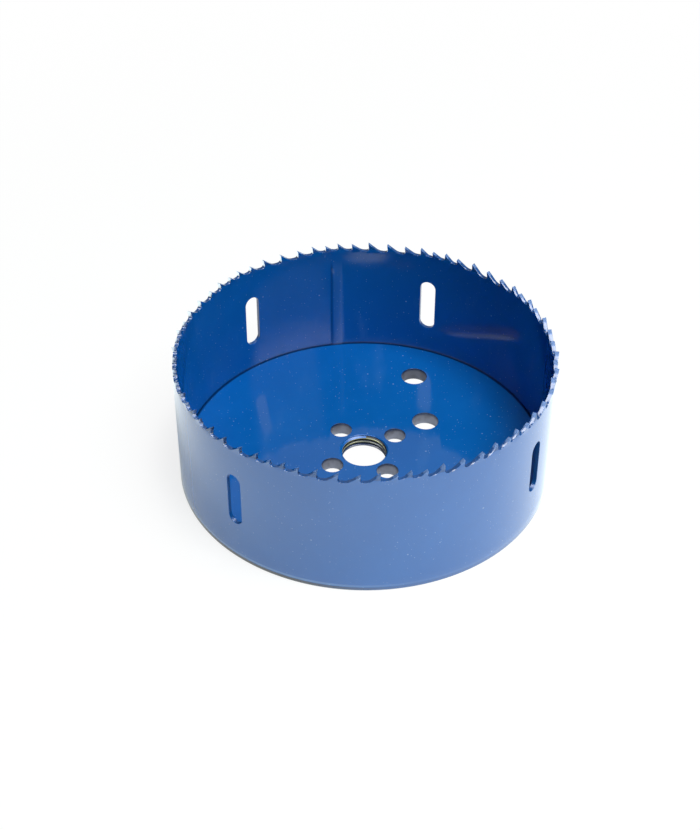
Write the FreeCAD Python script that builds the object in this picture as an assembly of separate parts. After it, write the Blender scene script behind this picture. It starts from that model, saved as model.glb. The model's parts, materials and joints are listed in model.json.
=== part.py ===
import FreeCAD, Part
import math
import os

# Large bimetal hole saw, 4 3/4 in: a toothed ring rolled from strip and butt welded, with a thick
# back plate set into its lower end. The saw stands on the plate side with its teeth up.
# Millimetres, +Z up, origin on the axis at the underside. Angles are counted from +X towards +Y.
# The front of the saw faces -Y.

# Overall sizes
cutting_diameter = 120.65
cutting_depth = 41.1
plate_thickness = 4.5
wall = 1.27

# Teeth: a group of seven pitches repeats round the rim, wide to narrow and back
tooth_pitches = (6.48, 5.75, 4.86, 4.34, 4.55, 5.44, 6.23)
tooth_set_sides = (0, 1, -1, 1, -1, 1, -1)
tooth_set = 0.4
first_raker_angle = 47.0
gullet_depth_share = 0.45
gullet_radius_share = 0.16
gullet_ramp_radius_share = 0.5
face_hook_angle = 6.0
back_relief_angle = 37.0

# Chip slots: obround holes in the wall, two of them close to either side of the weld
slot_width = 5.4
slot_length = 19.05
slot_bottom = 14.15
slot_angles = (68.7, 130.7, 230.0, 330.4)

# Butt weld of the strip, ground flush outside and left as a low bead inside
seam_angle = 99.7
seam_width = 4.1
seam_crown = 1.7
seam_height = 0.2
seam_gap_below_teeth = 4.0

# Edges
ring_foot_chamfer = 0.4
plate_top_chamfer = 0.6
plate_foot_chamfer = 0.4
mouth_chamfer = 0.25

# Holes of the back plate: 5/8-18 thread for the arbor, four drive-pin holes, two knock-out holes
thread_major = 15.875
thread_pitch = 25.4 / 18
pin_hole_diameter = 7.0
pin_hole_count = 4
pin_circle_diameter = 25.4
pin_first_angle = 36.9
knockout_diameter = 8.7
knockout_places = ((25.4, 36.9), (43.0, 66.7))

# Derived sizes
height = plate_thickness + cutting_depth
ring_radius = cutting_diameter / 2 - tooth_set
inner_radius = ring_radius - wall
mean_radius = ring_radius - wall / 2
tooth_groups = max(1, round(2 * math.pi * ring_radius / sum(tooth_pitches)))
group_angle = 360.0 / tooth_groups
step_angles = [group_angle * pitch / sum(tooth_pitches) for pitch in tooth_pitches]
gullet_depths = [gullet_depth_share * math.radians(step) * mean_radius for step in step_angles]

# The minor diameter of a 60 degree thread lies this many pitches below the major one
thread_depth_pitches = 1.0825
thread_minor = thread_major - thread_depth_pitches * thread_pitch
# The flat between a gullet's root and the middle of its floor, as a share of the tooth step
floor_share_beside_root = 0.02
# Round ends stay a hair under half the width, so that no edge of the outline vanishes
full_round = 0.998
# The plain wall ends this far below the deepest gullet, and the strip of teeth stands on it
band_gap_below_teeth = 1.0
band_height = height - max(gullet_depths) - band_gap_below_teeth
# A cutter starts and ends this far outside the metal it cuts
overshoot = 2.0

ORIGIN = FreeCAD.Vector(0, 0, 0)
AXIS = FreeCAD.Vector(0, 0, 1)


def turned(shape, angle):
    """The shape turned about the saw's axis by an angle in degrees."""
    copy = shape.copy()
    copy.rotate(ORIGIN, AXIS, angle)
    return copy


def revolved(section, start, sweep):
    """A solid of revolution about the axis, from (radius, height) points of its half section."""
    points = [FreeCAD.Vector(r, 0, z) for r, z in section]
    face = Part.Face(Part.makePolygon(points + points[:1]))
    return turned(face.revolve(ORIGIN, AXIS, sweep), start)


def rounded_face(corners, radii, place):
    """A flat face with some corners rounded. place turns a corner (u, v) into a point in space."""
    edges = []
    count = len(corners)
    ends = []
    for i, (corner, radius) in enumerate(zip(corners, radii)):
        before = corners[i - 1]
        after = corners[(i + 1) % count]
        to_before = math.atan2(before[1] - corner[1], before[0] - corner[0])
        to_after = math.atan2(after[1] - corner[1], after[0] - corner[0])
        half = abs((to_after - to_before + math.pi) % (2 * math.pi) - math.pi) / 2
        if radius == 0:
            ends.append((corner, corner))
            continue
        run = radius / math.tan(half)
        start = (corner[0] + run * math.cos(to_before), corner[1] + run * math.sin(to_before))
        end = (corner[0] + run * math.cos(to_after), corner[1] + run * math.sin(to_after))
        middle = ((start[0] + end[0]) / 2 - corner[0], (start[1] + end[1]) / 2 - corner[1])
        reach = math.hypot(*middle)
        top = radius / math.sin(half) - radius
        crest = (corner[0] + middle[0] / reach * top, corner[1] + middle[1] / reach * top)
        edges.append(Part.Arc(place(start), place(crest), place(end)).toShape())
        ends.append((start, end))
    for i in range(count):
        leaving = ends[i][1]
        arriving = ends[(i + 1) % count][0]
        edges.append(Part.makeLine(place(leaving), place(arriving)))
    return Part.Face(Part.Wire(Part.__sortEdges__(edges)))


def before_wall(corner):
    """Turns (sideways, height) into a point on a flat just inside the wall."""
    return FreeCAD.Vector(inner_radius - overshoot, corner[0], corner[1])


def tooth_sector(index):
    """The strip of teeth from one gullet to the next, its top bent over by the tooth's set."""
    lean = tooth_set * tooth_set_sides[index]
    bend = height - min(gullet_depths[index - 1], gullet_depths[index])
    section = [(inner_radius, band_height), (ring_radius, band_height), (ring_radius, bend),
               (ring_radius + lean, height), (inner_radius + lean, height), (inner_radius, bend)]
    if lean == 0:
        section = [(inner_radius, band_height), (ring_radius, band_height), (ring_radius, height),
                   (inner_radius, height)]
    tip = sum(step_angles[:index])
    start = tip - step_angles[index - 1] * (1 - gullet_floor_share())
    end = tip + step_angles[index] * gullet_floor_share()
    return revolved(section, start, end - start)


def gullet_floor_share():
    """Where the lowest part of a gullet lies, as a share of the step from tip to tip."""
    corner = gullet_radius_share / math.tan(math.radians(90 - face_hook_angle) / 2)
    hook = gullet_depth_share * math.tan(math.radians(face_hook_angle))
    return corner - hook + floor_share_beside_root


def gullet_cutter(index):
    """What is cut away between one tip and the next: face, round root, floor and back ramp."""
    depth = gullet_depths[index]
    step = step_angles[index]
    half = mean_radius * math.sin(math.radians(step) / 2)
    pitch = 2 * half
    floor = height - depth
    hook = math.tan(math.radians(face_hook_angle))
    relief = math.tan(math.radians(back_relief_angle))
    corners = [(-half - depth * hook, floor), (half - depth / relief, floor),
               (half + overshoot / relief, height + overshoot), (-half + overshoot * hook, height + overshoot)]
    radii = [gullet_radius_share * pitch, gullet_ramp_radius_share * pitch, 0, 0]
    face = rounded_face(corners, radii, before_wall)
    middle = sum(step_angles[:index]) + step / 2
    return turned(face.extrude(FreeCAD.Vector(wall + 2 * overshoot, 0, 0)), middle)


def tooth_group():
    """One group of seven teeth, down to the plain wall."""
    sectors = [tooth_sector(i) for i in range(len(tooth_pitches))]
    body = sectors[0].fuse(sectors[1:])
    cutters = [gullet_cutter(i) for i in range(len(tooth_pitches))]
    before = turned(cutters[-1], -group_angle)
    return body.cut(cutters + [before])


def slot_cutter(angle):
    """One obround slot through the wall."""
    half = slot_width / 2
    corners = [(-half, slot_bottom), (half, slot_bottom), (half, slot_bottom + slot_length),
               (-half, slot_bottom + slot_length)]
    radii = [half * full_round] * 4
    face = rounded_face(corners, radii, before_wall)
    return turned(face.extrude(FreeCAD.Vector(wall + 2 * overshoot, 0, 0)), angle)


def seam_bead():
    """The low bead inside the ring where the ends of the strip are welded."""
    half = seam_width / 2
    crown = seam_crown / 2
    root = inner_radius + wall / 2
    flank = math.sqrt(inner_radius ** 2 - half ** 2)
    top = inner_radius - seam_height
    outline = [(root, -half), (flank, -half), (top, -crown), (top, crown), (flank, half), (root, half)]
    bottom = plate_thickness
    points = [FreeCAD.Vector(x, y, bottom) for x, y in outline]
    face = Part.Face(Part.makePolygon(points + points[:1]))
    rise = height - max(gullet_depths) - seam_gap_below_teeth - bottom
    return turned(face.extrude(FreeCAD.Vector(0, 0, rise)), seam_angle)


def plain_wall():
    """The wall below the teeth, with its lower edge broken outside."""
    rim = min(ring_foot_chamfer, wall / 2)
    section = [(inner_radius, 0), (ring_radius - rim, 0), (ring_radius, rim), (ring_radius, band_height),
               (inner_radius, band_height)]
    return revolved(section, 0, 360)


def toothed_ring():
    """The rolled strip: wall, set teeth, weld bead and slots."""
    group = turned(tooth_group(), first_raker_angle)
    groups = [turned(group, group_angle * i) for i in range(tooth_groups)]
    ring = plain_wall().fuse(groups).removeSplitter()
    ring = ring.fuse(seam_bead())
    return ring.cut([slot_cutter(angle) for angle in slot_angles]).Solids[0]


def hole_cutter(radius, distance, angle):
    """A plain hole through the plate, its rim inside the cup broken by a small chamfer."""
    section = [(0, -overshoot), (radius, -overshoot), (radius, plate_thickness - mouth_chamfer),
               (radius + mouth_chamfer + overshoot, plate_thickness + overshoot),
               (0, plate_thickness + overshoot)]
    hole = revolved(section, 0, 360)
    hole.translate(FreeCAD.Vector(distance, 0, 0))
    return turned(hole, angle)


def thread_cutter():
    """The arbor hole at the thread's minor diameter, countersunk to the major one at both ends."""
    minor = thread_minor / 2
    major = thread_major / 2
    sink = major - minor
    section = [(0, -overshoot), (major + overshoot, -overshoot), (minor, sink), (minor, plate_thickness - sink),
               (major + overshoot, plate_thickness + overshoot), (0, plate_thickness + overshoot)]
    return revolved(section, 0, 360)


def back_plate():
    """The thick disc that closes the lower end, with its holes."""
    section = [(0, 0), (inner_radius - plate_foot_chamfer, 0), (inner_radius, plate_foot_chamfer),
               (inner_radius, plate_thickness - plate_top_chamfer),
               (inner_radius - plate_top_chamfer, plate_thickness), (0, plate_thickness)]
    plate = revolved(section, 0, 360)
    cutters = [thread_cutter()]
    for i in range(pin_hole_count):
        angle = pin_first_angle + 360.0 / pin_hole_count * i
        cutters.append(hole_cutter(pin_hole_diameter / 2, pin_circle_diameter / 2, angle))
    for distance, angle in knockout_places:
        cutters.append(hole_cutter(knockout_diameter / 2, distance, angle))
    return plate.cut(cutters).Solids[0]


os.makedirs("parts", exist_ok=True)
nodes = {"toothed_ring": toothed_ring(), "back_plate": back_plate()}
for name, shape in nodes.items():
    shape.exportStep("parts/" + name + ".step")
    box = shape.BoundBox
    print(name, "valid", shape.isValid(), "solids", len(shape.Solids), "faces", len(shape.Faces),
          "volume", round(shape.Volume, 1), "z", round(box.ZMin, 3), round(box.ZMax, 3),
          "x", round(box.XMin, 3), round(box.XMax, 3))
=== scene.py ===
import json
import math

import bmesh
import bpy
from bpy.props import FloatProperty, FloatVectorProperty, IntProperty, PointerProperty
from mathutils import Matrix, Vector


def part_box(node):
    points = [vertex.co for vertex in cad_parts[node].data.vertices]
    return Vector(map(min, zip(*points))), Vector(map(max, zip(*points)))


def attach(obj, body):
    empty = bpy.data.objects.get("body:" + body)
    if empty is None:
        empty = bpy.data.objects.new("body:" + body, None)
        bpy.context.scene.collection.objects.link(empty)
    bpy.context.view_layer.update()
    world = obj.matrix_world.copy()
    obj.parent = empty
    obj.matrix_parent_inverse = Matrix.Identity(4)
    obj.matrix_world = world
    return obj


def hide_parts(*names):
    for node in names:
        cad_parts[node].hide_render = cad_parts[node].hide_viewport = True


bl_info = {
    "name": "Hole saw",
    "version": (1, 0, 0),
    "blender": (4, 5, 0),
    "location": "3D View > Sidebar > Hole Saw",
    "description": "Builds the finished look of a toothed hole saw round its CAD model",
    "category": "Add Mesh",
}

# The CAD model. Metres, +Z along the saw's axis to the teeth, angles from +X to +Y, front at -Y.
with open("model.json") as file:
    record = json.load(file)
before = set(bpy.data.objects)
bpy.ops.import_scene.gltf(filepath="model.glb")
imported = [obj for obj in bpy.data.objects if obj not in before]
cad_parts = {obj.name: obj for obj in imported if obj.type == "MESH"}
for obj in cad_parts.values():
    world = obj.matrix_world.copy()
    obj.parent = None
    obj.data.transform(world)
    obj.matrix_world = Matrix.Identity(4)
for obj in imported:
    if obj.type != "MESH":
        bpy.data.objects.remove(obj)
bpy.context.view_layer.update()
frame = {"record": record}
_, ring_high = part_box("toothed_ring")
_, plate_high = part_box("back_plate")
mounts = {mount["name"]: mount["dims"] for mount in frame["record"]["mounts"]}

millimetre = 0.001
rim_height = ring_high.z
cutting_radius = ring_high.x
plate_radius = plate_high.x
plate_thickness = plate_high.z
thread_minor_radius = mounts["arbor_thread"]["r_mm"] * millimetre
pin_radius = mounts["drive_pin_holes"]["hole_r_mm"] * millimetre
pin_circle_radius = mounts["drive_pin_holes"]["pcd_mm"] / 2 * millimetre
pin_count = mounts["drive_pin_holes"]["count"]

# Teeth: a group of seven steps repeats round the rim. A tooth leans outward 1, inward -1 or not
tooth_steps = (6.48, 5.75, 4.86, 4.34, 4.55, 5.44, 6.23)
tooth_set_sides = (0, 1, -1, 1, -1, 1, -1)
tooth_groups = 10

# Points of a gullet's outline: round its root, and at the foot of the tooth's back
root_points = 6
ramp_points = 4

# Rows of points of the strip: just below a gullet, just below the teeth, where the weld bead
# fades out, and in the plain wall
below_gullet = 0.25 * millimetre
below_teeth = 0.6 * millimetre
fade_rows = 5
plain_heights = (25 * millimetre, 15 * millimetre)

# Chip slots and the strip's weld, in degrees, and how far the weld bead takes to fade out
slot_angles = (68.7, 130.7, 230.0, 330.4)
seam_angle = 99.7
seam_fade = 6 * millimetre

# A slot's round ends stay a hair under half its width, so that no side of its outline vanishes
full_round = 0.998

# A bead of weld spatter that stuck to the plate's edge
spatter_place = (-27.2 * millimetre, 50.4 * millimetre)
spatter_radius = 0.35 * millimetre

# The first drive-pin hole's direction, and each knock-out hole's distance and direction, in degrees
pin_first_angle = 36.9
knockout_places = ((25.4 * millimetre, 36.9), (43.0 * millimetre, 66.7))

# Half the angle between the flanks of a thread
thread_flank_angle = math.radians(30)

# A cutter starts and ends this far outside the metal, and the tap a little less
overshoot = 1 * millimetre
tap_overshoot = 0.3 * millimetre

# Points this close become one, and points this close to a plane lie in it
merge_distance = 1e-6
hair = 1e-5

# Faces that meet at less than this angle are shaded as one surface
smooth_angle = math.radians(28)

# The floor, which lies a little below the saw
floor_size = 8.0
floor_gap = 0.03 * millimetre


# Sizes, colours, wear and light, which the panel lists

def length_property(name, description, default):
    return FloatProperty(name=name, description=description, default=default, unit="LENGTH")


def angle_property(name, description, degrees):
    return FloatProperty(
        name=name, description=description, default=math.radians(degrees), subtype="ANGLE")


def share_property(name, description, default):
    return FloatProperty(name=name, description=description, default=default, subtype="FACTOR")


def colour_property(name, description, default):
    return FloatVectorProperty(
        name=name, description=description, default=default, size=3, subtype="COLOR")


class SawSizes(bpy.types.PropertyGroup):
    """Sizes of the saw's details."""
    wall: length_property("Wall", "Thickness of the rolled strip", 0.00127)
    tooth_set: length_property("Tooth set", "How far a tooth leans out or in", 0.0004)
    first_tooth: angle_property("First tooth", "Direction of the first straight tooth", 47.0)
    gullet_depth: share_property("Gullet depth", "Depth of a gullet as a share of its step", 0.45)
    gullet_root: share_property("Gullet root", "Root radius as a share of the step", 0.16)
    gullet_ramp: share_property(
        "Gullet ramp", "Radius at the foot of a tooth's back, as a share of the step", 0.5)
    face_hook: angle_property("Face hook", "How far a tooth's face leans under its tip", 6.0)
    back_relief: angle_property("Back relief", "Fall of a tooth's back behind its tip", 37.0)
    tooth_edge: length_property("Tooth edge", "Rounding of the teeth's edges", 0.00004)
    slot_width: length_property("Slot width", "Width of a chip slot", 0.0054)
    slot_length: length_property("Slot length", "Length of a chip slot", 0.01905)
    slot_bottom: length_property("Slot bottom", "Height of a chip slot's lower end", 0.01415)
    slot_rim: length_property("Slot rim", "Broken edge round a chip slot", 0.00006)
    seam_width: length_property("Seam width", "Width of the weld bead inside the ring", 0.0041)
    seam_height: length_property("Seam height", "How far the weld bead stands inwards", 0.0002)
    seam_gap: length_property(
        "Seam gap", "From the end of the weld bead up to the deepest gullet", 0.004)
    foot_edge: length_property("Foot edge", "Rounding of the ring's lower edge", 0.0004)
    plate_top_edge: length_property("Plate top edge", "Groove between plate and ring", 0.0006)
    plate_foot_edge: length_property("Plate foot edge", "Broken lower edge of the plate", 0.0004)
    hole_rim: length_property("Hole rim", "Broken edge of a hole in the plate", 0.00004)
    knockout_radius: length_property("Knock-out radius", "Radius of a knock-out hole", 0.00435)
    thread_major: length_property("Thread diameter", "Major diameter of the arbor thread", 0.015875)
    thread_pitch: length_property("Thread pitch", "Pitch of the arbor thread", 0.0254 / 18)
    thread_foot_sink: length_property(
        "Thread foot sink", "Broken edge at the thread's lower end", 0.0002)
    circle_steps: IntProperty(
        name="Circle steps", description="Straight steps round the plate", default=360, min=48)
    hole_steps: IntProperty(
        name="Hole steps", description="Straight steps round a hole", default=72, min=24)


class SawColours(bpy.types.PropertyGroup):
    """Colours of the saw and of what it stands on."""
    paint: colour_property("Paint", "Blue paint", (0.0016, 0.082, 0.30))
    paint_thin: colour_property("Thin paint", "Paint where it lies thin", (0.003, 0.094, 0.33))
    # Dust is also a painted highlight on the weld bead's crown and just above the foot
    dust: colour_property("Dust", "Specks of dust in the paint", (0.24, 0.38, 0.56))
    rubbed: colour_property(
        "Rubbed paint", "Paint rubbed pale at the tips of the teeth", (0.27, 0.36, 0.48))
    # Pooled paint is also painted shade in the slots, the corner, the plate's groove, beside the
    # weld bead and in the gullets' roots
    pooled_paint_and_shade: colour_property(
        "Pooled paint", "Dark paint in grooves and at lips", (0.001, 0.018, 0.075))
    steel: colour_property("Steel", "Ground steel of the teeth", (0.56, 0.62, 0.68))
    cut_steel: colour_property("Cut steel", "Turned steel of the holes", (0.20, 0.207, 0.26))
    crest: colour_property("Thread crests", "Oiled crests of the thread", (0.20, 0.20, 0.12))
    # Oil is also painted shade: the shadow at the ring's foot, the thread's grooves and the floor
    # under the saw
    oil_and_shade: colour_property("Oil", "Dark oil in the thread and the holes", (0.02, 0.022, 0.024))
    backdrop: colour_property("Backdrop", "Floor and surroundings", (1.0, 1.0, 1.0))
    bounce: colour_property("Bounce", "Floor as the saw mirrors it", (0.95, 1.0, 0.98))
    shade: colour_property("Shade", "Floor where it takes the saw's shadow", (0.86, 0.93, 0.90))


class SawWear(bpy.types.PropertyGroup):
    """How strongly dust, rubbing, pooled paint, painted shade and painted highlights show, from 0
    to 1.
    """
    dust: share_property("Dust", "Specks of dust in the paint", 0.6)
    smears: share_property("Smears", "Pale smears on the paint", 0.12)
    tips: share_property("Tips", "Paint rubbed pale beside the tips of the teeth", 0.25)
    tooth_backs: share_property("Tooth backs", "Paint rubbed pale on the backs of the teeth", 0.18)
    gullets: share_property("Gullets", "Dark paint in the gullets", 0.45)
    # Painted shade in the gullets' roots
    gullet_root_shade: share_property(
        "Gullet roots", "Still darker paint in the roots of the gullets", 0.2)
    # Painted shade in the chip slots
    slots: share_property("Slots", "Dark paint in the chip slots", 0.55)
    # Painted shade where the wall meets the plate
    corner_shade: share_property("Corner", "Dark paint where the wall meets the plate", 0.75)
    # Painted shade on the plate's edge
    plate_groove_shade: share_property("Plate groove", "Dark paint on the plate's edge", 0.8)
    # Painted shade beside the weld bead
    seam_flank_shade: share_property("Seam flank", "Dark paint beside the weld bead", 0.45)
    # Painted highlight on the weld bead's crown
    seam_crown_highlight: share_property("Seam crown", "Thin paint on the weld bead", 0.06)
    # Painted shadow where the ring stands
    foot: share_property("Foot", "Dark rub where the ring stands", 0.95)
    # Painted highlight just above the foot
    foot_highlight: share_property("Above foot", "Pale rub just above the foot", 0.3)


class SawLight(bpy.types.PropertyGroup):
    """The soft box, and how brightly gloss mirrors the surroundings."""
    lamp_angle: angle_property("Lamp angle", "Direction of the soft box from +X towards +Y", -38)
    lamp_height: angle_property("Lamp height", "Angle of the soft box above the floor", 67)
    lamp_distance: length_property("Lamp distance", "From the saw to the soft box", 1.15)
    lamp_size: length_property("Lamp size", "Side of the soft box", 0.65)
    lamp_power: FloatProperty(
        name="Lamp power", description="Power of the soft box", default=19.3, unit="POWER")
    mirror_angle: angle_property(
        "Mirror angle", "Direction in which gloss mirrors the soft box", -37)
    soft_box_low: FloatProperty(
        name="Soft box, low", description="Mirrored soft box at its lower edge", default=1.4)
    soft_box_high: FloatProperty(
        name="Soft box, high", description="Mirrored soft box at its upper edge", default=11.0)
    ceiling: FloatProperty(
        name="Ceiling", description="Mirrored ceiling in front of the saw", default=11.0)
    skyline: FloatProperty(
        name="Skyline", description="Mirrored room behind the saw", default=0.3)
    haze: FloatProperty(
        name="Haze", description="What gloss mirrors everywhere else", default=0.1)
    ambient: FloatProperty(
        name="Ambient", description="Light from all round on what isn't gloss", default=0.02)


class SawCamera(bpy.types.PropertyGroup):
    """Where the saw is looked at from."""
    place: FloatVectorProperty(
        name="Place", description="Camera position", default=(0.0, -0.40972, 0.35355), size=3,
        subtype="TRANSLATION", unit="LENGTH")
    turn: FloatVectorProperty(
        name="Turn", description="Camera rotation",
        default=(math.radians(50.782), math.radians(-0.121), math.radians(0.744)), size=3,
        subtype="EULER", unit="ROTATION")
    lens: FloatProperty(
        name="Lens", description="Focal length for a 36 mm long side", default=71.48,
        subtype="DISTANCE_CAMERA")
    nearest: length_property("Nearest", "Nearest distance that the camera sees", 0.01)


# Modelling helpers

def deselect_all():
    bpy.ops.object.select_all(action="DESELECT")


def make_active(piece):
    deselect_all()
    piece.select_set(True)
    bpy.context.view_layer.objects.active = piece


def added(name):
    """The object that the last primitive made, under its own name."""
    piece = bpy.context.active_object
    piece.name = name
    piece.data.name = name
    return piece


def modify(piece, kind, **settings):
    """Adds a modifier and applies it."""
    make_active(piece)
    bpy.ops.object.modifier_add(type=kind)
    modifier = piece.modifiers[-1]
    for key, value in settings.items():
        setattr(modifier, key, value)
    bpy.ops.object.modifier_apply(modifier=modifier.name)


def settle(piece):
    """Puts the object's place, turn and scale into its mesh."""
    make_active(piece)
    bpy.ops.object.transform_apply(location=True, rotation=True, scale=True)


def turn_about_axis(piece, angle):
    piece.rotation_euler.z = angle
    settle(piece)


def join(pieces):
    deselect_all()
    for piece in pieces:
        piece.select_set(True)
    bpy.context.view_layer.objects.active = pieces[0]
    bpy.ops.object.join()
    return pieces[0]


def cut_away(piece, cutter):
    """Takes the cutter's shape out of the piece, and the cutter with it."""
    make_active(cutter)
    bpy.ops.object.mode_set(mode="EDIT")
    bpy.ops.mesh.select_all(action="SELECT")
    bpy.ops.mesh.normals_make_consistent(inside=False)
    bpy.ops.object.mode_set(mode="OBJECT")
    modify(piece, "BOOLEAN", operation="DIFFERENCE", solver="EXACT", object=cutter)
    bpy.data.objects.remove(cutter, do_unlink=True)


def pick_edges(piece, wanted):
    """Goes into edit mode with just those edges selected that are wanted."""
    make_active(piece)
    bpy.ops.object.mode_set(mode="EDIT")
    bpy.ops.mesh.select_mode(type="EDGE")
    bpy.ops.mesh.select_all(action="DESELECT")
    mesh = bmesh.from_edit_mesh(piece.data)
    for edge in mesh.edges:
        if wanted(edge):
            edge.select_set(True)
    mesh.select_flush_mode()
    bmesh.update_edit_mesh(piece.data)


def smooth_edges(piece):
    make_active(piece)
    bpy.ops.object.shade_smooth_by_angle(angle=smooth_angle)


def finish_piece(piece, node):
    """Lets the piece stand for its CAD node."""
    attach(piece, "root")
    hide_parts(node)


# The toothed ring

def strip_length(sizes):
    """Length of the strip's middle line, and its radius once it is rolled."""
    radius = cutting_radius - sizes.tooth_set - sizes.wall / 2
    return math.tau * radius, radius


def gullet_outline(sizes, step):
    """Points (along, down) of one gullet from a tip to the middle of the next tooth's back."""
    depth = sizes.gullet_depth * step
    hook = math.tan(sizes.face_hook)
    root = sizes.gullet_root * step
    root_run = root / math.tan((math.pi / 2 - sizes.face_hook) / 2)
    ramp = sizes.gullet_ramp * step
    ramp_run = ramp * math.tan(sizes.back_relief / 2)
    root_centre = -depth * hook + root_run
    ramp_centre = step - depth / math.tan(sizes.back_relief) - ramp_run
    points = [(0.0, 0.0)]
    for i in range(root_points):
        angle = (1 - i / (root_points - 1)) * (math.pi / 2 + sizes.face_hook)
        points.append((root_centre - root * math.sin(angle), depth - root + root * math.cos(angle)))
    for i in range(ramp_points):
        angle = i / (ramp_points - 1) * sizes.back_relief
        points.append((ramp_centre + ramp * math.sin(angle), depth - ramp + ramp * math.cos(angle)))
    foot = points[-1]
    points.append(((foot[0] + step) / 2, foot[1] / 2))
    return points, depth


def group_steps(sizes):
    """The seven steps of a group, stretched so that whole groups fill the rim."""
    length, _ = strip_length(sizes)
    return [step * length / tooth_groups / sum(tooth_steps) for step in tooth_steps]


def deepest_gullet(sizes):
    return sizes.gullet_depth * max(group_steps(sizes))


def rim_columns(sizes, length):
    """One group of teeth, column by column: where it stands at the rim, how far down the rim is
    there, where it stands at the bend and in the plain wall, how far down the bend is, and its
    lean."""
    steps = group_steps(sizes)
    gullets = [gullet_outline(sizes, step) for step in steps]
    per_tooth = len(gullets[0][0])
    # Just below a tooth its columns are spread evenly up to this point of the gullet's root
    spread = root_points - 1
    columns = []
    tip = 0.0
    for i, step in enumerate(steps):
        points, depth = gullets[i]
        before_points, before_depth = gullets[i - 1]
        start = tip - (steps[i - 1] - before_points[-1][0])
        width = (tip + points[-1][0] - start) / per_tooth
        root = tip + points[spread][0]
        after_depth = gullets[(i + 1) % len(steps)][1]
        for k, (along, down) in enumerate(points):
            own = k <= per_tooth // 2
            side = tooth_set_sides[i] if own else tooth_set_sides[(i + 1) % len(steps)]
            bend = min(before_depth, depth) if own else min(depth, after_depth)
            lean = sizes.tooth_set * side * max(0.0, 1 - down / bend)
            below = start + (root - start) * (k + 1) / (spread + 1) if k < spread else tip + along
            columns.append((tip + along, down, below, start + width * (k + 1), bend, lean))
        tip += step
    last = columns[-1]
    group = length / tooth_groups
    first = (last[0] - group, last[1], last[2] - group, last[3] - group, last[4], last[5])
    return [first] + columns


def tooth_strip(sizes, length):
    """A flat strip one group long, its upper edge cut to teeth, as a single skin."""
    columns = rim_columns(sizes, length)
    deepest = deepest_gullet(sizes)
    seam_end = rim_height - deepest - sizes.seam_gap
    heights = [rim_height - deepest - below_teeth, seam_end]
    heights += [seam_end - seam_fade * (i + 1) / fade_rows for i in range(fade_rows)]
    heights += [*plain_heights, plate_thickness, 0.0]
    rows = len(heights) + 1
    deselect_all()
    bpy.ops.mesh.primitive_grid_add(
        x_subdivisions=len(columns) - 1, y_subdivisions=rows, size=1, location=(0.5, 0.5, 0))
    strip = added("toothed_ring_look")
    settle(strip)
    leans = strip.data.attributes.new("lean", "FLOAT", "POINT")
    for vertex in strip.data.vertices:
        along, down, below, plain, bend, lean = columns[round(vertex.co.x * (len(columns) - 1))]
        row = rows - round(vertex.co.y * rows)
        if row == 0:
            vertex.co = (along, 0, rim_height - down)
            leans.data[vertex.index].value = lean
        elif row == 1:
            vertex.co = ((along + below) / 2, 0, rim_height - max(down + below_gullet, bend))
        else:
            vertex.co = (plain, 0, heights[row - 2])
    return strip


def seam_lift(sizes, point, radius, top):
    """How far the weld bead stands in from the wall at this point."""
    angle = math.atan2(point.y, point.x) - math.radians(seam_angle)
    away = abs((angle + math.pi) % math.tau - math.pi) * radius / (sizes.seam_width / 2)
    rise = min(1.0, max(0.0, (top - point.z) / seam_fade))
    return sizes.seam_height * max(0.0, 1 - away ** 3) * rise * rise * (3 - 2 * rise)


def slot_cutter(sizes, radius):
    """A bevelled rectangle drawn out through the wall, flared where it leaves the metal."""
    inner = radius - sizes.wall
    rim = sizes.slot_rim
    width = sizes.slot_width
    length = sizes.slot_length
    middle = sizes.slot_bottom + length / 2
    deselect_all()
    bpy.ops.mesh.primitive_plane_add(
        size=1, location=(inner - overshoot, 0, middle), rotation=(math.pi / 2, 0, math.pi / 2))
    cutter = added("slot_cutter")
    cutter.scale = (width, length, 1)
    settle(cutter)
    bpy.ops.object.mode_set(mode="EDIT")
    bpy.ops.mesh.select_all(action="SELECT")
    bpy.ops.mesh.bevel(offset=width / 2 * full_round, segments=14, affect="VERTICES", profile=0.5)
    # How far out each section lies, and how much wider it is than the slot
    stations = (
        (inner - overshoot, rim + overshoot), (inner, rim), (inner + rim, 0.0), (radius - rim, 0.0),
        (radius, rim), (radius + overshoot, rim + overshoot))
    flare = 0.0
    for i, (place, wanted) in enumerate(stations):
        if i:
            bpy.ops.mesh.extrude_region_move(
                TRANSFORM_OT_translate={"value": (place - stations[i - 1][0], 0, 0)})
        wider = (width + 2 * wanted) / (width + 2 * flare)
        longer = (length + 2 * wanted) / (length + 2 * flare)
        bpy.ops.transform.resize(value=(1, wider, longer), center_override=(place, 0, middle))
        flare = wanted
    bpy.ops.object.mode_set(mode="OBJECT")
    # The sections follow the wall's curve
    for vertex in cutter.data.vertices:
        vertex.co.x = math.sqrt(vertex.co.x ** 2 - vertex.co.y ** 2)
    return cutter


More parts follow.
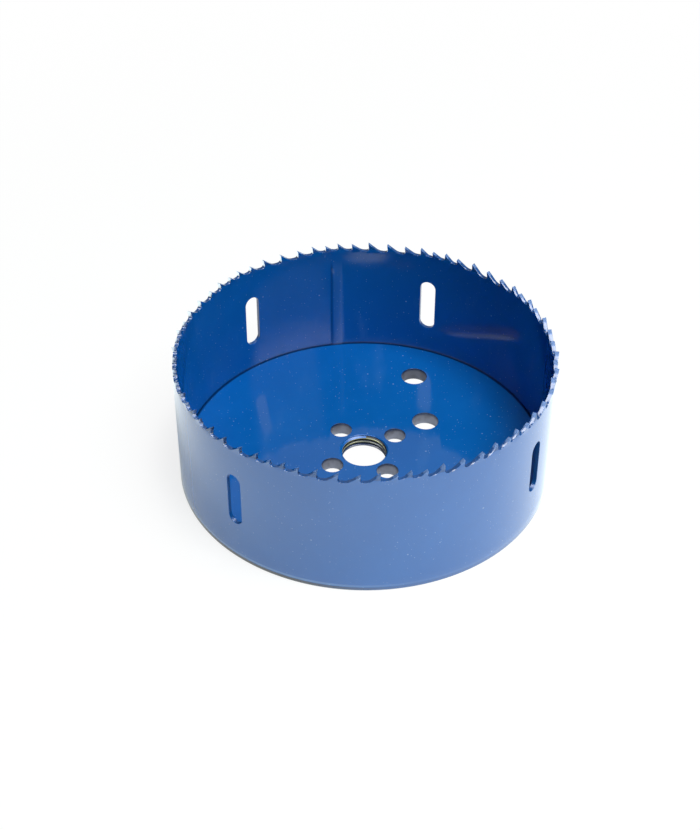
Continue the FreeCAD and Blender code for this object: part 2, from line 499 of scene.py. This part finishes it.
class HOLESAW_OT_ring(bpy.types.Operator):
    """Adds the rolled ring with its set teeth, weld bead and chip slots"""
    bl_idname = "hole_saw.ring"
    bl_label = "Toothed Ring"

    def execute(self, context):
        sizes = context.scene.saw_sizes
        length, middle_radius = strip_length(sizes)
        outer = middle_radius + sizes.wall / 2
        ring = tooth_strip(sizes, length)
        colours = context.scene.saw_colours
        wear = context.scene.saw_wear
        ring.data.materials.append(ring_paint(colours, wear, sizes))
        ring.data.materials.append(tooth_steel(colours))
        ring.data.materials.append(gullet_paint(colours, wear))
        modify(ring, "ARRAY", count=tooth_groups, use_relative_offset=False,
               use_constant_offset=True, constant_offset_displace=(length / tooth_groups, 0, 0),
               use_merge_vertices=True, merge_threshold=merge_distance)
        modify(ring, "SIMPLE_DEFORM", deform_method="BEND", deform_axis="Z", angle=math.tau)
        ring.location.y = -middle_radius
        settle(ring)
        # The first tip is rolled to the front, a quarter turn before +X, and is turned from there
        turn_about_axis(ring, sizes.first_tooth + math.pi / 2)
        modify(ring, "WELD", merge_threshold=merge_distance)
        modify(ring, "SOLIDIFY", thickness=sizes.wall, offset=0, use_even_offset=True,
               material_offset_rim=1)
        self.round_foot(ring, outer, sizes)
        self.raise_seam(ring, middle_radius, sizes)
        self.set_teeth(ring)
        modify(ring, "BEVEL", width=sizes.tooth_edge, segments=2, limit_method="ANGLE",
               angle_limit=math.radians(40))
        for angle in slot_angles:
            cutter = slot_cutter(sizes, outer)
            turn_about_axis(cutter, math.radians(angle))
            cut_away(ring, cutter)
        # Of the toothed edge only the cutting faces are ground bare. Their normals hardly point up
        paint, bare, gullet = range(3)
        steep = 0.4
        for face in ring.data.polygons:
            toothed = face.material_index and face.center.z > rim_height / 2
            at_rim = bare if face.normal.z < steep else gullet
            face.material_index = at_rim if toothed else paint
        smooth_edges(ring)
        finish_piece(ring, "toothed_ring")
        return {"FINISHED"}

    def round_foot(self, ring, outer, sizes):
        """Rounds the outer one of the two lower edges."""
        middle = outer - sizes.wall / 2

        def lies_at_foot(edge):
            return all(end.co.z < hair and end.co.xy.length > middle for end in edge.verts)

        pick_edges(ring, lies_at_foot)
        bpy.ops.mesh.bevel(offset=sizes.foot_edge, segments=4, affect="EDGES")
        bpy.ops.object.mode_set(mode="OBJECT")

    def set_teeth(self, ring):
        """Leans the teeth out and in."""
        for vertex, lean in zip(ring.data.vertices, ring.data.attributes["lean"].data):
            vertex.co.xy *= 1 + lean.value / vertex.co.xy.length

    def raise_seam(self, ring, middle_radius, sizes):
        """Lifts the inner wall along the strip's weld."""
        top = rim_height - deepest_gullet(sizes) - sizes.seam_gap
        for vertex in ring.data.vertices:
            point = vertex.co
            if point.xy.length < middle_radius and plate_thickness - hair < point.z < top - hair:
                lift = seam_lift(sizes, point, middle_radius, top)
                point.xy *= 1 - lift / point.xy.length


# The back plate

def hole_cutter(radius, place, sizes):
    """The solid that cuts a plain hole, with a broken rim on the inside of the cup."""
    rim = sizes.hole_rim
    deselect_all()
    bpy.ops.mesh.primitive_circle_add(
        vertices=sizes.hole_steps, radius=radius, fill_type="NGON", location=(*place, -overshoot))
    cutter = added("hole_cutter")
    settle(cutter)
    bpy.ops.object.mode_set(mode="EDIT")
    bpy.ops.mesh.select_all(action="SELECT")
    bpy.ops.mesh.extrude_region_move(
        TRANSFORM_OT_translate={"value": (0, 0, plate_thickness - rim + overshoot)})
    bpy.ops.mesh.extrude_region_move(TRANSFORM_OT_translate={"value": (0, 0, rim + overshoot)})
    flare = (radius + rim + overshoot) / radius
    bpy.ops.transform.resize(value=(flare, flare, 1), center_override=(*place, plate_thickness))
    bpy.ops.object.mode_set(mode="OBJECT")
    return cutter


def tap(sizes):
    """The solid that cuts the arbor thread: one thread turn's outline screwed up the axis."""
    pitch = sizes.thread_pitch
    major = sizes.thread_major / 2
    depth = major - thread_minor_radius
    flank = depth * math.tan(thread_flank_angle)
    crest = pitch / 4
    outline = ((0, crest), (depth, flank), (0, pitch - crest - 2 * flank), (-depth, flank))
    turns = math.ceil(plate_thickness / pitch) + 3
    start = Vector((thread_minor_radius, 0, -2 * pitch))
    deselect_all()
    bpy.ops.mesh.primitive_plane_add(size=pitch, location=start)
    cutter = added("tap")
    settle(cutter)
    bpy.ops.object.mode_set(mode="EDIT")
    bpy.ops.mesh.select_mode(type="VERT")
    bpy.ops.mesh.select_all(action="SELECT")
    bpy.ops.mesh.merge(type="CENTER")
    for out, up in outline:
        bpy.ops.mesh.extrude_vertices_move(TRANSFORM_OT_translate={"value": (out, 0, up)})
    bpy.ops.object.mode_set(mode="OBJECT")
    modify(cutter, "SCREW", axis="Z", angle=math.tau, screw_offset=pitch, iterations=turns,
           steps=sizes.hole_steps, render_steps=sizes.hole_steps)
    make_active(cutter)
    bpy.ops.object.mode_set(mode="EDIT")
    bpy.ops.mesh.select_all(action="SELECT")
    bpy.ops.mesh.remove_doubles(threshold=merge_distance)
    for height, up in ((-tap_overshoot, -1), (plate_thickness + tap_overshoot, 1)):
        bpy.ops.mesh.select_all(action="SELECT")
        bpy.ops.mesh.bisect(plane_co=(0, 0, height), plane_no=(0, 0, up), use_fill=True,
                            clear_outer=True)
    bpy.ops.object.mode_set(mode="OBJECT")
    return cutter


def countersink(sizes, height, up, sink):
    """The cone that opens the thread's upper end, up 1, or lower end, up -1, by sink."""
    depth = sink + 2 * overshoot
    deselect_all()
    bpy.ops.mesh.primitive_cone_add(
        vertices=2 * sizes.hole_steps, radius1=thread_minor_radius - overshoot,
        radius2=thread_minor_radius + sink + overshoot, depth=depth,
        location=(0, 0, height + up * (overshoot - depth / 2)),
        rotation=(0 if up > 0 else math.pi, 0, 0))
    cutter = added("countersink")
    settle(cutter)
    return cutter


class HOLESAW_OT_plate(bpy.types.Operator):
    """Adds the thick back plate with its thread, drive-pin holes and knock-out holes"""
    bl_idname = "hole_saw.plate"
    bl_label = "Back Plate"

    def execute(self, context):
        sizes = context.scene.saw_sizes
        deselect_all()
        bpy.ops.mesh.primitive_cylinder_add(
            vertices=sizes.circle_steps, radius=plate_radius, depth=plate_thickness,
            location=(0, 0, plate_thickness / 2))
        plate = added("back_plate_look")
        settle(plate)
        for height, edge in ((plate_thickness, sizes.plate_top_edge), (0.0, sizes.plate_foot_edge)):
            pick_edges(plate, lambda e: all(abs(end.co.z - height) < hair for end in e.verts))
            bpy.ops.mesh.bevel(offset=edge, segments=3, affect="EDGES")
            bpy.ops.object.mode_set(mode="OBJECT")
        cutters = [hole_cutter(radius, place, sizes) for radius, place in self.holes(sizes)]
        cut_away(plate, join(cutters))
        cut_away(plate, tap(sizes))
        sink = sizes.thread_major / 2 - thread_minor_radius
        cut_away(plate, countersink(sizes, plate_thickness, 1, sink))
        cut_away(plate, countersink(sizes, 0.0, -1, sizes.thread_foot_sink))
        deselect_all()
        bpy.ops.mesh.primitive_ico_sphere_add(
            subdivisions=3, radius=spatter_radius, location=(*spatter_place, plate_thickness))
        join([plate, added("weld_spatter")])
        colours = context.scene.saw_colours
        wear = context.scene.saw_wear
        for material in (plate_paint(colours, wear), hole_steel(colours), thread_steel(colours)):
            plate.data.materials.append(material)
        self.bare_the_holes(plate, sizes.thread_major / 2, sink)
        smooth_edges(plate)
        finish_piece(plate, "back_plate")
        return {"FINISHED"}

    def holes(self, sizes):
        """Radius and place of each plain hole."""
        found = []
        for i in range(pin_count):
            angle = pin_first_angle + 360 / pin_count * i
            found.append((pin_radius, around(pin_circle_radius, angle)))
        for distance, angle in knockout_places:
            found.append((sizes.knockout_radius, around(distance, angle)))
        return found

    def bare_the_holes(self, plate, thread_radius, sink):
        """Marks the walls of the holes and the thread as bare steel."""
        paint, hole, thread = range(3)
        # How far the normals of the painted countersink and of the plate's faces point up
        sloping, level = 0.6, 0.9
        outer_edge = plate_radius * 0.95
        for face in plate.data.polygons:
            from_axis = face.center.xy.length
            if from_axis < thread_radius + hair:
                painted = face.normal.z > sloping and face.center.z > plate_thickness - sink
                face.material_index = paint if painted else thread
            elif abs(face.normal.z) < level and from_axis < outer_edge:
                face.material_index = hole
            else:
                face.material_index = paint


def around(distance, angle):
    """A place at this distance from the axis, the angle in degrees."""
    return distance * math.cos(math.radians(angle)), distance * math.sin(math.radians(angle))


# Shader maths

class Value:
    """A number in a shader tree. Arithmetic on it adds Math nodes."""

    def __init__(self, shader, socket):
        self.shader = shader
        self.socket = socket

    def math(self, operation, *others):
        return self.shader.calculate(operation, self, *others)

    def __add__(self, other):
        return self.math("ADD", other)

    def __radd__(self, other):
        return self.math("ADD", other)

    def __sub__(self, other):
        return self.math("SUBTRACT", other)

    def __rsub__(self, other):
        return self.shader.calculate("SUBTRACT", other, self)

    def __mul__(self, other):
        return self.math("MULTIPLY", other)

    def __rmul__(self, other):
        return self.math("MULTIPLY", other)

    def __truediv__(self, other):
        return self.math("DIVIDE", other)

    def __lt__(self, other):
        return self.math("LESS_THAN", other)

    def ramp(self, low, high):
        """0 below low, 1 above high and smooth between. low may be the larger."""
        return self.shader.value(
            "ShaderNodeMapRange", {"interpolation_type": "SMOOTHSTEP"},
            {"Value": self, "From Min": low, "From Max": high})

    def band(self, rise, fall):
        """1 between two ramps and 0 outside them."""
        return self.ramp(*rise) * self.ramp(*fall)


class Shader:
    """The tree of nodes of a material or the world."""

    def __init__(self, owner):
        owner.use_nodes = True
        self.tree = owner.node_tree
        self.tree.nodes.clear()

    def node(self, kind, settings=None, inputs=None):
        """A node of this kind. Its settings are set first, then its sockets are fed."""
        made = self.tree.nodes.new(kind)
        for key, value in (settings or {}).items():
            setattr(made, key, value)
        for key, value in (inputs or {}).items():
            self.feed(made.inputs[key], value)
        return made

    def feed(self, socket, value):
        if isinstance(value, Value):
            value = value.socket
        if isinstance(value, bpy.types.NodeSocket):
            self.tree.links.new(value, socket)
        elif socket.type == "RGBA" and len(value) == 3:
            socket.default_value = (*value, 1.0)
        else:
            socket.default_value = value

    def value(self, kind, settings=None, inputs=None):
        return Value(self, self.node(kind, settings, inputs).outputs[0])

    def calculate(self, operation, *numbers):
        return self.value("ShaderNodeMath", {"operation": operation}, dict(enumerate(numbers)))

    def mix(self, factor, first, second):
        """A colour between two others."""
        made = self.node("ShaderNodeMix", {"data_type": "RGBA"}, {0: factor, 6: first, 7: second})
        return made.outputs[2]

    def mix_surfaces(self, factor, first, second):
        """A surface between two others."""
        return self.node("ShaderNodeMixShader", None, {
            0: factor, 1: first.outputs[0], 2: second.outputs[0]})

    def place(self):
        """The point on the piece, in metres."""
        return self.node("ShaderNodeTexCoord").outputs["Object"]

    def parts(self, vector):
        split = self.node("ShaderNodeSeparateXYZ", None, {0: vector})
        return [Value(self, split.outputs[i]) for i in range(3)]

    def from_axis(self, point):
        """Distance of the point from the saw's axis."""
        x, y, _ = self.parts(point)
        return (x * x + y * y).math("SQRT")

    def ray_kinds(self):
        """1 for what the camera sees, and 1 for what gloss mirrors or glass lets through."""
        ray = self.node("ShaderNodeLightPath")
        seen, glossy, through = (
            Value(self, ray.outputs[name])
            for name in ("Is Camera Ray", "Is Glossy Ray", "Is Transmission Ray"))
        return seen, glossy + through

    def noise(self, point, size, detail):
        """Clouds from 0 to 1, about as large as size."""
        return self.value("ShaderNodeTexNoise", None, {
            "Vector": point, "Scale": 1 / size, "Detail": detail})

    def stretched(self, point, scale):
        return self.node("ShaderNodeMapping", None, {"Vector": point, "Scale": scale}).outputs[0]

    def bump(self, height, distance):
        bumped = self.node("ShaderNodeBump", None, {"Height": height, "Distance": distance})
        return bumped.outputs[0]

    def principled(self, inputs):
        """Finishes the material with one Principled surface."""
        self.finish(self.node("ShaderNodeBsdfPrincipled", None, inputs))

    def finish(self, surface, output="ShaderNodeOutputMaterial"):
        self.tree.links.new(surface.outputs[0], self.node(output).inputs["Surface"])


def new_material(name):
    material = bpy.data.materials.new(name)
    return material, Shader(material)


# Finishes

def zone(start, full, base=0.0):
    """Where a finish starts and where it is full, in millimetres beyond a base."""
    return base + start * millimetre, base + full * millimetre


# Heights below the rim
tip_zone = zone(-1.8, -0.2, rim_height)
tooth_back_zone = zone(-1.2, -0.7, rim_height)
gullet_root_zone = zone(-1.8, -2.8, rim_height)
seam_end_zone = zone(-5.0, -9.0, rim_height)

# Heights above the underside, and the side on which the foot's painted shadow is strongest, along X
foot_zone = zone(1.5, 1.2)
above_foot_zones = (zone(1.4, 1.7), zone(2.5, 2.0))
shaded_side_zone = zone(-25.0, 20.0)
hole_lip_zone = zone(-1.5, -0.4, plate_thickness)
thread_paint_zone = zone(2.4, 1.5)

# Distances from the middle of the wall and from the plate's face
slot_zone = zone(0.6, 0.5)
corner_zone = zone(0.6, 0.2)

# Radii from the axis
plate_groove_zone = zone(-0.9, -0.6, plate_radius)
mouth_zone = zone(8.2, 8.0)
thread_groove_zone = zone(0.03, 0.15, thread_minor_radius)

# Places across the weld bead, in widths of the bead from its middle
seam_flank_zones = ((0.3, 0.42), (0.6, 0.48))
seam_crown_zones = ((-0.5, -0.4), (0.35, 0.25))

# Edges of worn or painted zones wander by this much
edge_wander = 0.6 * millimetre
tip_wander = 1.2 * millimetre

# Index of refraction of the paint, and of the paint in the gullets, where it lies thick
paint_gloss = 1.6
gullet_gloss = 1.68


def specks(shader, point, spacing, size, share):
    """Round specks: about this share of the cells holds one."""
    cells = shader.node("ShaderNodeTexVoronoi", None, {"Vector": point, "Scale": 1 / spacing})
    distance = Value(shader, cells.outputs["Distance"])
    chance = shader.parts(cells.outputs["Color"])
    reach = size / spacing * (0.5 + chance[1])
    return (distance / reach).ramp(1.0, 0.3) * (chance[0] < share)


def paint_layers(shader, colours, wear, point, smears):
    """Colour, roughness and relief of the sprayed paint, with dust in it."""
    clouds = shader.noise(point, 30 * millimetre, 3.0)
    fine = shader.noise(point, 4 * millimetre, 3.0)
    thin = clouds.ramp(0.35, 0.75) * 0.7 + fine.ramp(0.4, 0.8) * 0.3
    colour = shader.mix(thin, colours.paint, colours.paint_thin)
    small = specks(shader, point, 1.0 * millimetre, 0.17 * millimetre, 0.4)
    large = specks(shader, point, 3.2 * millimetre, 0.3 * millimetre, 0.4)
    dust = small * 0.7 + large * 0.8
    colour = shader.mix(dust * wear.dust, colour, colours.dust)
    colour = shader.mix(smears * wear.smears, colour, colours.dust)
    rough = 0.07 + fine * 0.03 + clouds * 0.03 + smears * 0.1
    peel = shader.noise(point, 1.1 * millimetre, 2.0)
    relief = peel * 0.6 + dust * 1.5
    return colour, rough, shader.bump(relief, 0.004 * millimetre)


def ring_paint(colours, wear, sizes):
    """Glossy blue paint of the ring, rubbed pale at the tips of the teeth, with painted shade and
    painted highlights in the slots, the corner, along the weld bead and at the foot.
    """
    material, shader = new_material("ring_paint_look")
    point = shader.place()
    x, y, z = shader.parts(point)
    radius = shader.from_axis(point)
    rubbed = shader.noise(shader.stretched(point, (1, 1, 0.3)), 6 * millimetre, 3.0)
    smears = rubbed.ramp(0.62, 0.8) * 0.4
    colour, rough, normal = paint_layers(shader, colours, wear, point, smears)
    middle = plate_radius + sizes.wall / 2
    inside = radius < middle
    # Painted shade in the slots: their walls take the dark pooled colour
    in_slot = (radius - middle).math("ABSOLUTE").ramp(*slot_zone)
    colour = shader.mix(in_slot * wear.slots, colour, colours.pooled_paint_and_shade)
    grain = shader.noise(point, 0.9 * millimetre, 3.0)
    tips = (z + (grain - 0.5) * tip_wander).ramp(*tip_zone) * (1 - inside)
    colour = shader.mix(tips * wear.tips, colour, colours.rubbed)
    # Painted shade where the wall meets the plate
    corner_shade = (z - plate_thickness).math("ABSOLUTE").ramp(*corner_zone) * inside
    colour = shader.mix(corner_shade * wear.corner_shade, colour, colours.pooled_paint_and_shade)
    # Painted shade along one flank of the weld bead, and a painted highlight on its crown
    angle = y.math("ARCTAN2", x) - math.radians(seam_angle)
    across = angle * (plate_radius / sizes.seam_width)
    below_end = z.ramp(*seam_end_zone) * inside
    flank = across.band(*seam_flank_zones) * below_end
    crown = across.band(*seam_crown_zones) * below_end
    colour = shader.mix(crown * wear.seam_crown_highlight, colour, colours.dust)
    colour = shader.mix(flank * wear.seam_flank_shade, colour, colours.pooled_paint_and_shade)
    # Painted shadow where the foot stands, most of all on the side away from the soft box, and a
    # painted highlight just above
    shaded_side = 1 - x.ramp(*shaded_side_zone) * 0.8
    foot = z.ramp(*foot_zone) * shaded_side
    above = z.band(*above_foot_zones) * shaded_side
    colour = shader.mix(above * wear.foot_highlight, colour, colours.dust)
    colour = shader.mix(foot * wear.foot, colour, colours.oil_and_shade)
    shader.principled({
        "Base Color": colour, "Roughness": rough + tips * 0.2 + foot * 0.1 + in_slot * 0.2,
        "Normal": normal, "IOR": paint_gloss})
    return material


def gullet_paint(colours, wear):
    """Paint on the backs of the teeth and in the gullets, mixed darker over the gullets, with
    painted shade in the roots.
    """
    material, shader = new_material("gullet_paint_look")
    point = shader.place()
    z = shader.parts(point)[2]
    colour, rough, normal = paint_layers(shader, colours, wear, point, 0.0)
    # Painted shade deepening into the roots of the gullets
    root = z.ramp(*gullet_root_zone)
    colour = shader.mix(wear.gullets + root * wear.gullet_root_shade, colour, colours.pooled_paint_and_shade)
    worn = z.ramp(*tooth_back_zone)
    colour = shader.mix(worn * wear.tooth_backs, colour, colours.rubbed)
    shader.principled({
        "Base Color": colour, "Roughness": rough + 0.08 + worn * 0.4, "Normal": normal,
        "IOR": gullet_gloss})
    return material


def plate_paint(colours, wear):
    """Glossy blue paint of the plate, with painted shade in the groove along the ring."""
    material, shader = new_material("plate_paint_look")
    point = shader.place()
    radius = shader.from_axis(point)
    rubbed = shader.noise(shader.stretched(point, (1, 0.25, 1)), 12 * millimetre, 3.0)
    smears = rubbed.ramp(0.6, 0.8) * 0.4
    colour, rough, normal = paint_layers(shader, colours, wear, point, smears)
    # Painted shade in the groove where the plate meets the ring
    groove = radius.ramp(*plate_groove_zone)
    colour = shader.mix(groove * wear.plate_groove_shade, colour, colours.pooled_paint_and_shade)
    shader.principled({
        "Base Color": colour, "Roughness": rough + radius.ramp(*mouth_zone) * 0.2,
        "Normal": normal, "IOR": paint_gloss})
    return material


def tooth_steel(colours):
    """Ground steel of the cutting faces."""
    material, shader = new_material("tooth_steel")
    point = shader.place()
    marks = shader.noise(shader.stretched(point, (1, 1, 0.2)), 0.4 * millimetre, 3.0)
    stain = shader.noise(point, 2 * millimetre, 2.0)
    tone = shader.mix(stain.ramp(0.45, 0.8) * 0.5, colours.steel, colours.cut_steel)
    shader.principled({
        "Base Color": tone, "Metallic": 1.0, "Roughness": 0.24 + marks * 0.15,
        "Normal": shader.bump(marks, 0.006 * millimetre)})
    return material


def hole_steel(colours):
    """Turned steel of the plain holes, with a lip of paint at the top."""
    material, shader = new_material("hole_steel")
    point = shader.place()
    z = shader.parts(point)[2]
    rings = shader.noise(shader.stretched(point, (0.3, 0.3, 1)), 0.5 * millimetre, 3.0)
    stain = shader.noise(point, 3 * millimetre, 2.0)
    tone = shader.mix(stain.ramp(0.4, 0.8) * 0.35, colours.cut_steel, colours.oil_and_shade)
    lip = (z + (stain - 0.5) * edge_wander).ramp(*hole_lip_zone)
    tone = shader.mix(lip, tone, colours.pooled_paint_and_shade)
    shader.principled({
        "Base Color": tone, "Metallic": 0.75 - lip * 0.75,
        "Roughness": 0.42 - lip * 0.2 + rings * 0.12,
        "Normal": shader.bump(rings, 0.01 * millimetre)})
    return material


def thread_steel(colours):
    """Oiled steel of the thread: bright crests, black grooves of painted shade and paint on the
    lowest turn.
    """
    material, shader = new_material("thread_steel")
    point = shader.place()
    z = shader.parts(point)[2]
    marks = shader.noise(shader.stretched(point, (0.3, 0.3, 1)), 0.4 * millimetre, 3.0)
    # The grooves are painted black: painted shade between the crests
    groove = shader.from_axis(point).ramp(*thread_groove_zone)
    tone = shader.mix(groove, colours.crest, colours.oil_and_shade)
    painted = (z + (marks - 0.5) * edge_wander).ramp(*thread_paint_zone)
    tone = shader.mix(painted * 0.9, tone, colours.pooled_paint_and_shade)
    shader.principled({
        "Base Color": tone, "Metallic": 0.85 - painted * 0.85,
        "Roughness": 0.3 + marks * 0.15 - painted * 0.15,
        "Normal": shader.bump(marks, 0.008 * millimetre)})
    return material


# The stage. One soft box hangs over the front right, and gloss mirrors its even image

def towards_soft_box(x, y, light):
    """How far a place or a direction lies towards the mirrored soft box, and how far beside it."""
    along, across = math.cos(light.mirror_angle), math.sin(light.mirror_angle)
    return x * along + y * across, y * along - x * across


def backdrop_material(colours, light):
    """White floor that keeps the saw's shadow and isn't seen from below."""
    material, shader = new_material("floor_white")
    seen, mirrored = shader.ray_kinds()
    point = shader.place()
    x, y, _ = shader.parts(point)
    radius = shader.from_axis(point)
    under = radius < plate_radius
    # Painted shade under the saw: gloss finds the floor dark through the holes, most of all through
    # the outer one
    outer_hole = radius.ramp(0.03, 0.04)
    dark = mirrored * under * (0.1 + outer_hole * 0.55)
    diffuse = shader.node(
        "ShaderNodeBsdfDiffuse", None, {"Color": shader.mix(dark, colours.shade, colours.oil_and_shade)})
    glow = shader.node("ShaderNodeEmission", None, {
        "Color": shader.mix(seen, colours.bounce, colours.backdrop), "Strength": 2.3 - seen * 1.3})
    # Painted light and shadow on the floor: the glow is brighter towards the soft box, and weaker
    # close behind the saw and under it
    side = towards_soft_box(x, y, light)[0].ramp(-0.12, 0.13)
    close = radius.ramp(0.092, 0.062) * (1 - side)
    hidden = under * (0.86 + outer_hole * 0.06)
    near = radius.ramp(0.075, 0.06) * (1 - under)
    to_camera = 0.92 + under * 0.06 + radius.ramp(0.12, 0.4) * 0.08 - near * 0.1
    to_gloss = (0.53 + side * 0.29) * (1 - close * 0.85) * (1 - hidden)
    to_rest = 0.19 + side * 0.55
    share = seen * to_camera + mirrored * to_gloss + (1 - seen - mirrored) * to_rest
    lit = shader.mix_surfaces(share, diffuse, glow)
    below = Value(shader, shader.node("ShaderNodeNewGeometry").outputs["Backfacing"])
    clear = shader.node("ShaderNodeBsdfTransparent")
    shader.finish(shader.mix_surfaces(below, lit, clear))
    return material


def light_surroundings(scene, colours, light):
    """White to the eye and dim as a light. Gloss mirrors a skyline, a soft box and a ceiling."""
    world = bpy.data.worlds.new("surroundings")
    scene.world = world
    shader = Shader(world)
    seen, glossy = shader.ray_kinds()
    x, y, up = shader.parts(shader.node("ShaderNodeTexCoord").outputs["Generated"])
    towards, beside = towards_soft_box(x, y, light)
    soft_box = towards.ramp(0.15, 0.3) * up.ramp(0.98, 0.93)
    soft_box = soft_box * beside.math("ABSOLUTE").ramp(0.4, 0.3)
    # The soft box is dim low down and bright at its upper edge
    soft_box = soft_box * (
        light.soft_box_low + up.ramp(0.69, 0.78) * (light.soft_box_high - light.soft_box_low))
    skyline = up.ramp(0.85, 0.7) * y.ramp(0.0, 0.3) * light.skyline
    # The ceiling is a band in front, open straight overhead
    ceiling = up.band((0.77, 0.85), (0.985, 0.94)) * y.ramp(0.5, 0.2) * light.ceiling
    mirrored = skyline.math("MAXIMUM", soft_box).math("MAXIMUM", ceiling) + light.haze
    strength = seen + (1 - seen) * (glossy * mirrored + (1 - glossy) * light.ambient)
    background = shader.node("ShaderNodeBackground", None, {
        "Color": colours.backdrop, "Strength": strength})
    shader.finish(background, "ShaderNodeOutputWorld")


class HOLESAW_OT_stage(bpy.types.Operator):
    """Adds the white floor, the soft light and the camera"""
    bl_idname = "hole_saw.stage"
    bl_label = "Stage"

    def execute(self, context):
        scene = context.scene
        colours = scene.saw_colours
        light = scene.saw_light
        deselect_all()
        bpy.ops.mesh.primitive_plane_add(size=floor_size, location=(0, 0, -floor_gap))
        floor = added("floor")
        settle(floor)
        floor.data.materials.append(backdrop_material(colours, light))
        light_surroundings(scene, colours, light)
        self.hang_lamp(light)
        self.set_camera(scene)
        scene.view_settings.view_transform = "Standard"
        return {"FINISHED"}

    def hang_lamp(self, light):
        """A square soft box that shines at the saw. Gloss mirrors its image in the world."""
        level = light.lamp_distance * math.cos(light.lamp_height)
        place = Vector((level * math.cos(light.lamp_angle), level * math.sin(light.lamp_angle),
                        light.lamp_distance * math.sin(light.lamp_height)))
        aim = Vector((0, 0, rim_height / 2)) - place
        bpy.ops.object.light_add(
            type="AREA", location=place, rotation=aim.to_track_quat("-Z", "Y").to_euler())
        lamp = bpy.context.active_object
        lamp.name = "soft_box"
        lamp.data.size = light.lamp_size
        lamp.data.energy = light.lamp_power
        lamp.visible_glossy = False

    def set_camera(self, scene):
        view = scene.saw_camera
        bpy.ops.object.camera_add(location=view.place, rotation=view.turn)
        camera = bpy.context.active_object
        camera.name = "photo_camera"
        camera.data.lens = view.lens
        camera.data.clip_start = view.nearest
        scene.camera = camera


class HOLESAW_PT_panel(bpy.types.Panel):
    """The saw's pieces, sizes, colours, wear and light"""
    bl_idname = "HOLESAW_PT_panel"
    bl_label = "Hole Saw"
    bl_space_type = "VIEW_3D"
    bl_region_type = "UI"
    bl_category = "Hole Saw"

    def draw(self, context):
        for operator in piece_operators:
            self.layout.operator(operator.bl_idname)
        for group_name in property_groups:
            group = getattr(context.scene, group_name)
            for name in group.__annotations__:
                self.layout.prop(group, name)


piece_operators = (HOLESAW_OT_ring, HOLESAW_OT_plate, HOLESAW_OT_stage)
property_groups = {
    "saw_sizes": SawSizes, "saw_colours": SawColours, "saw_wear": SawWear, "saw_light": SawLight,
    "saw_camera": SawCamera}


def register():
    for group in property_groups.values():
        bpy.utils.register_class(group)
    for name, group in property_groups.items():
        setattr(bpy.types.Scene, name, PointerProperty(type=group))
    for operator in piece_operators:
        bpy.utils.register_class(operator)
    bpy.utils.register_class(HOLESAW_PT_panel)


def unregister():
    bpy.utils.unregister_class(HOLESAW_PT_panel)
    for operator in reversed(piece_operators):
        bpy.utils.unregister_class(operator)
    for name, group in property_groups.items():
        delattr(bpy.types.Scene, name)
        bpy.utils.unregister_class(group)


def main():
    register()
    bpy.ops.hole_saw.ring()
    bpy.ops.hole_saw.plate()
    bpy.ops.hole_saw.stage()


if __name__ == "__main__":
    main()
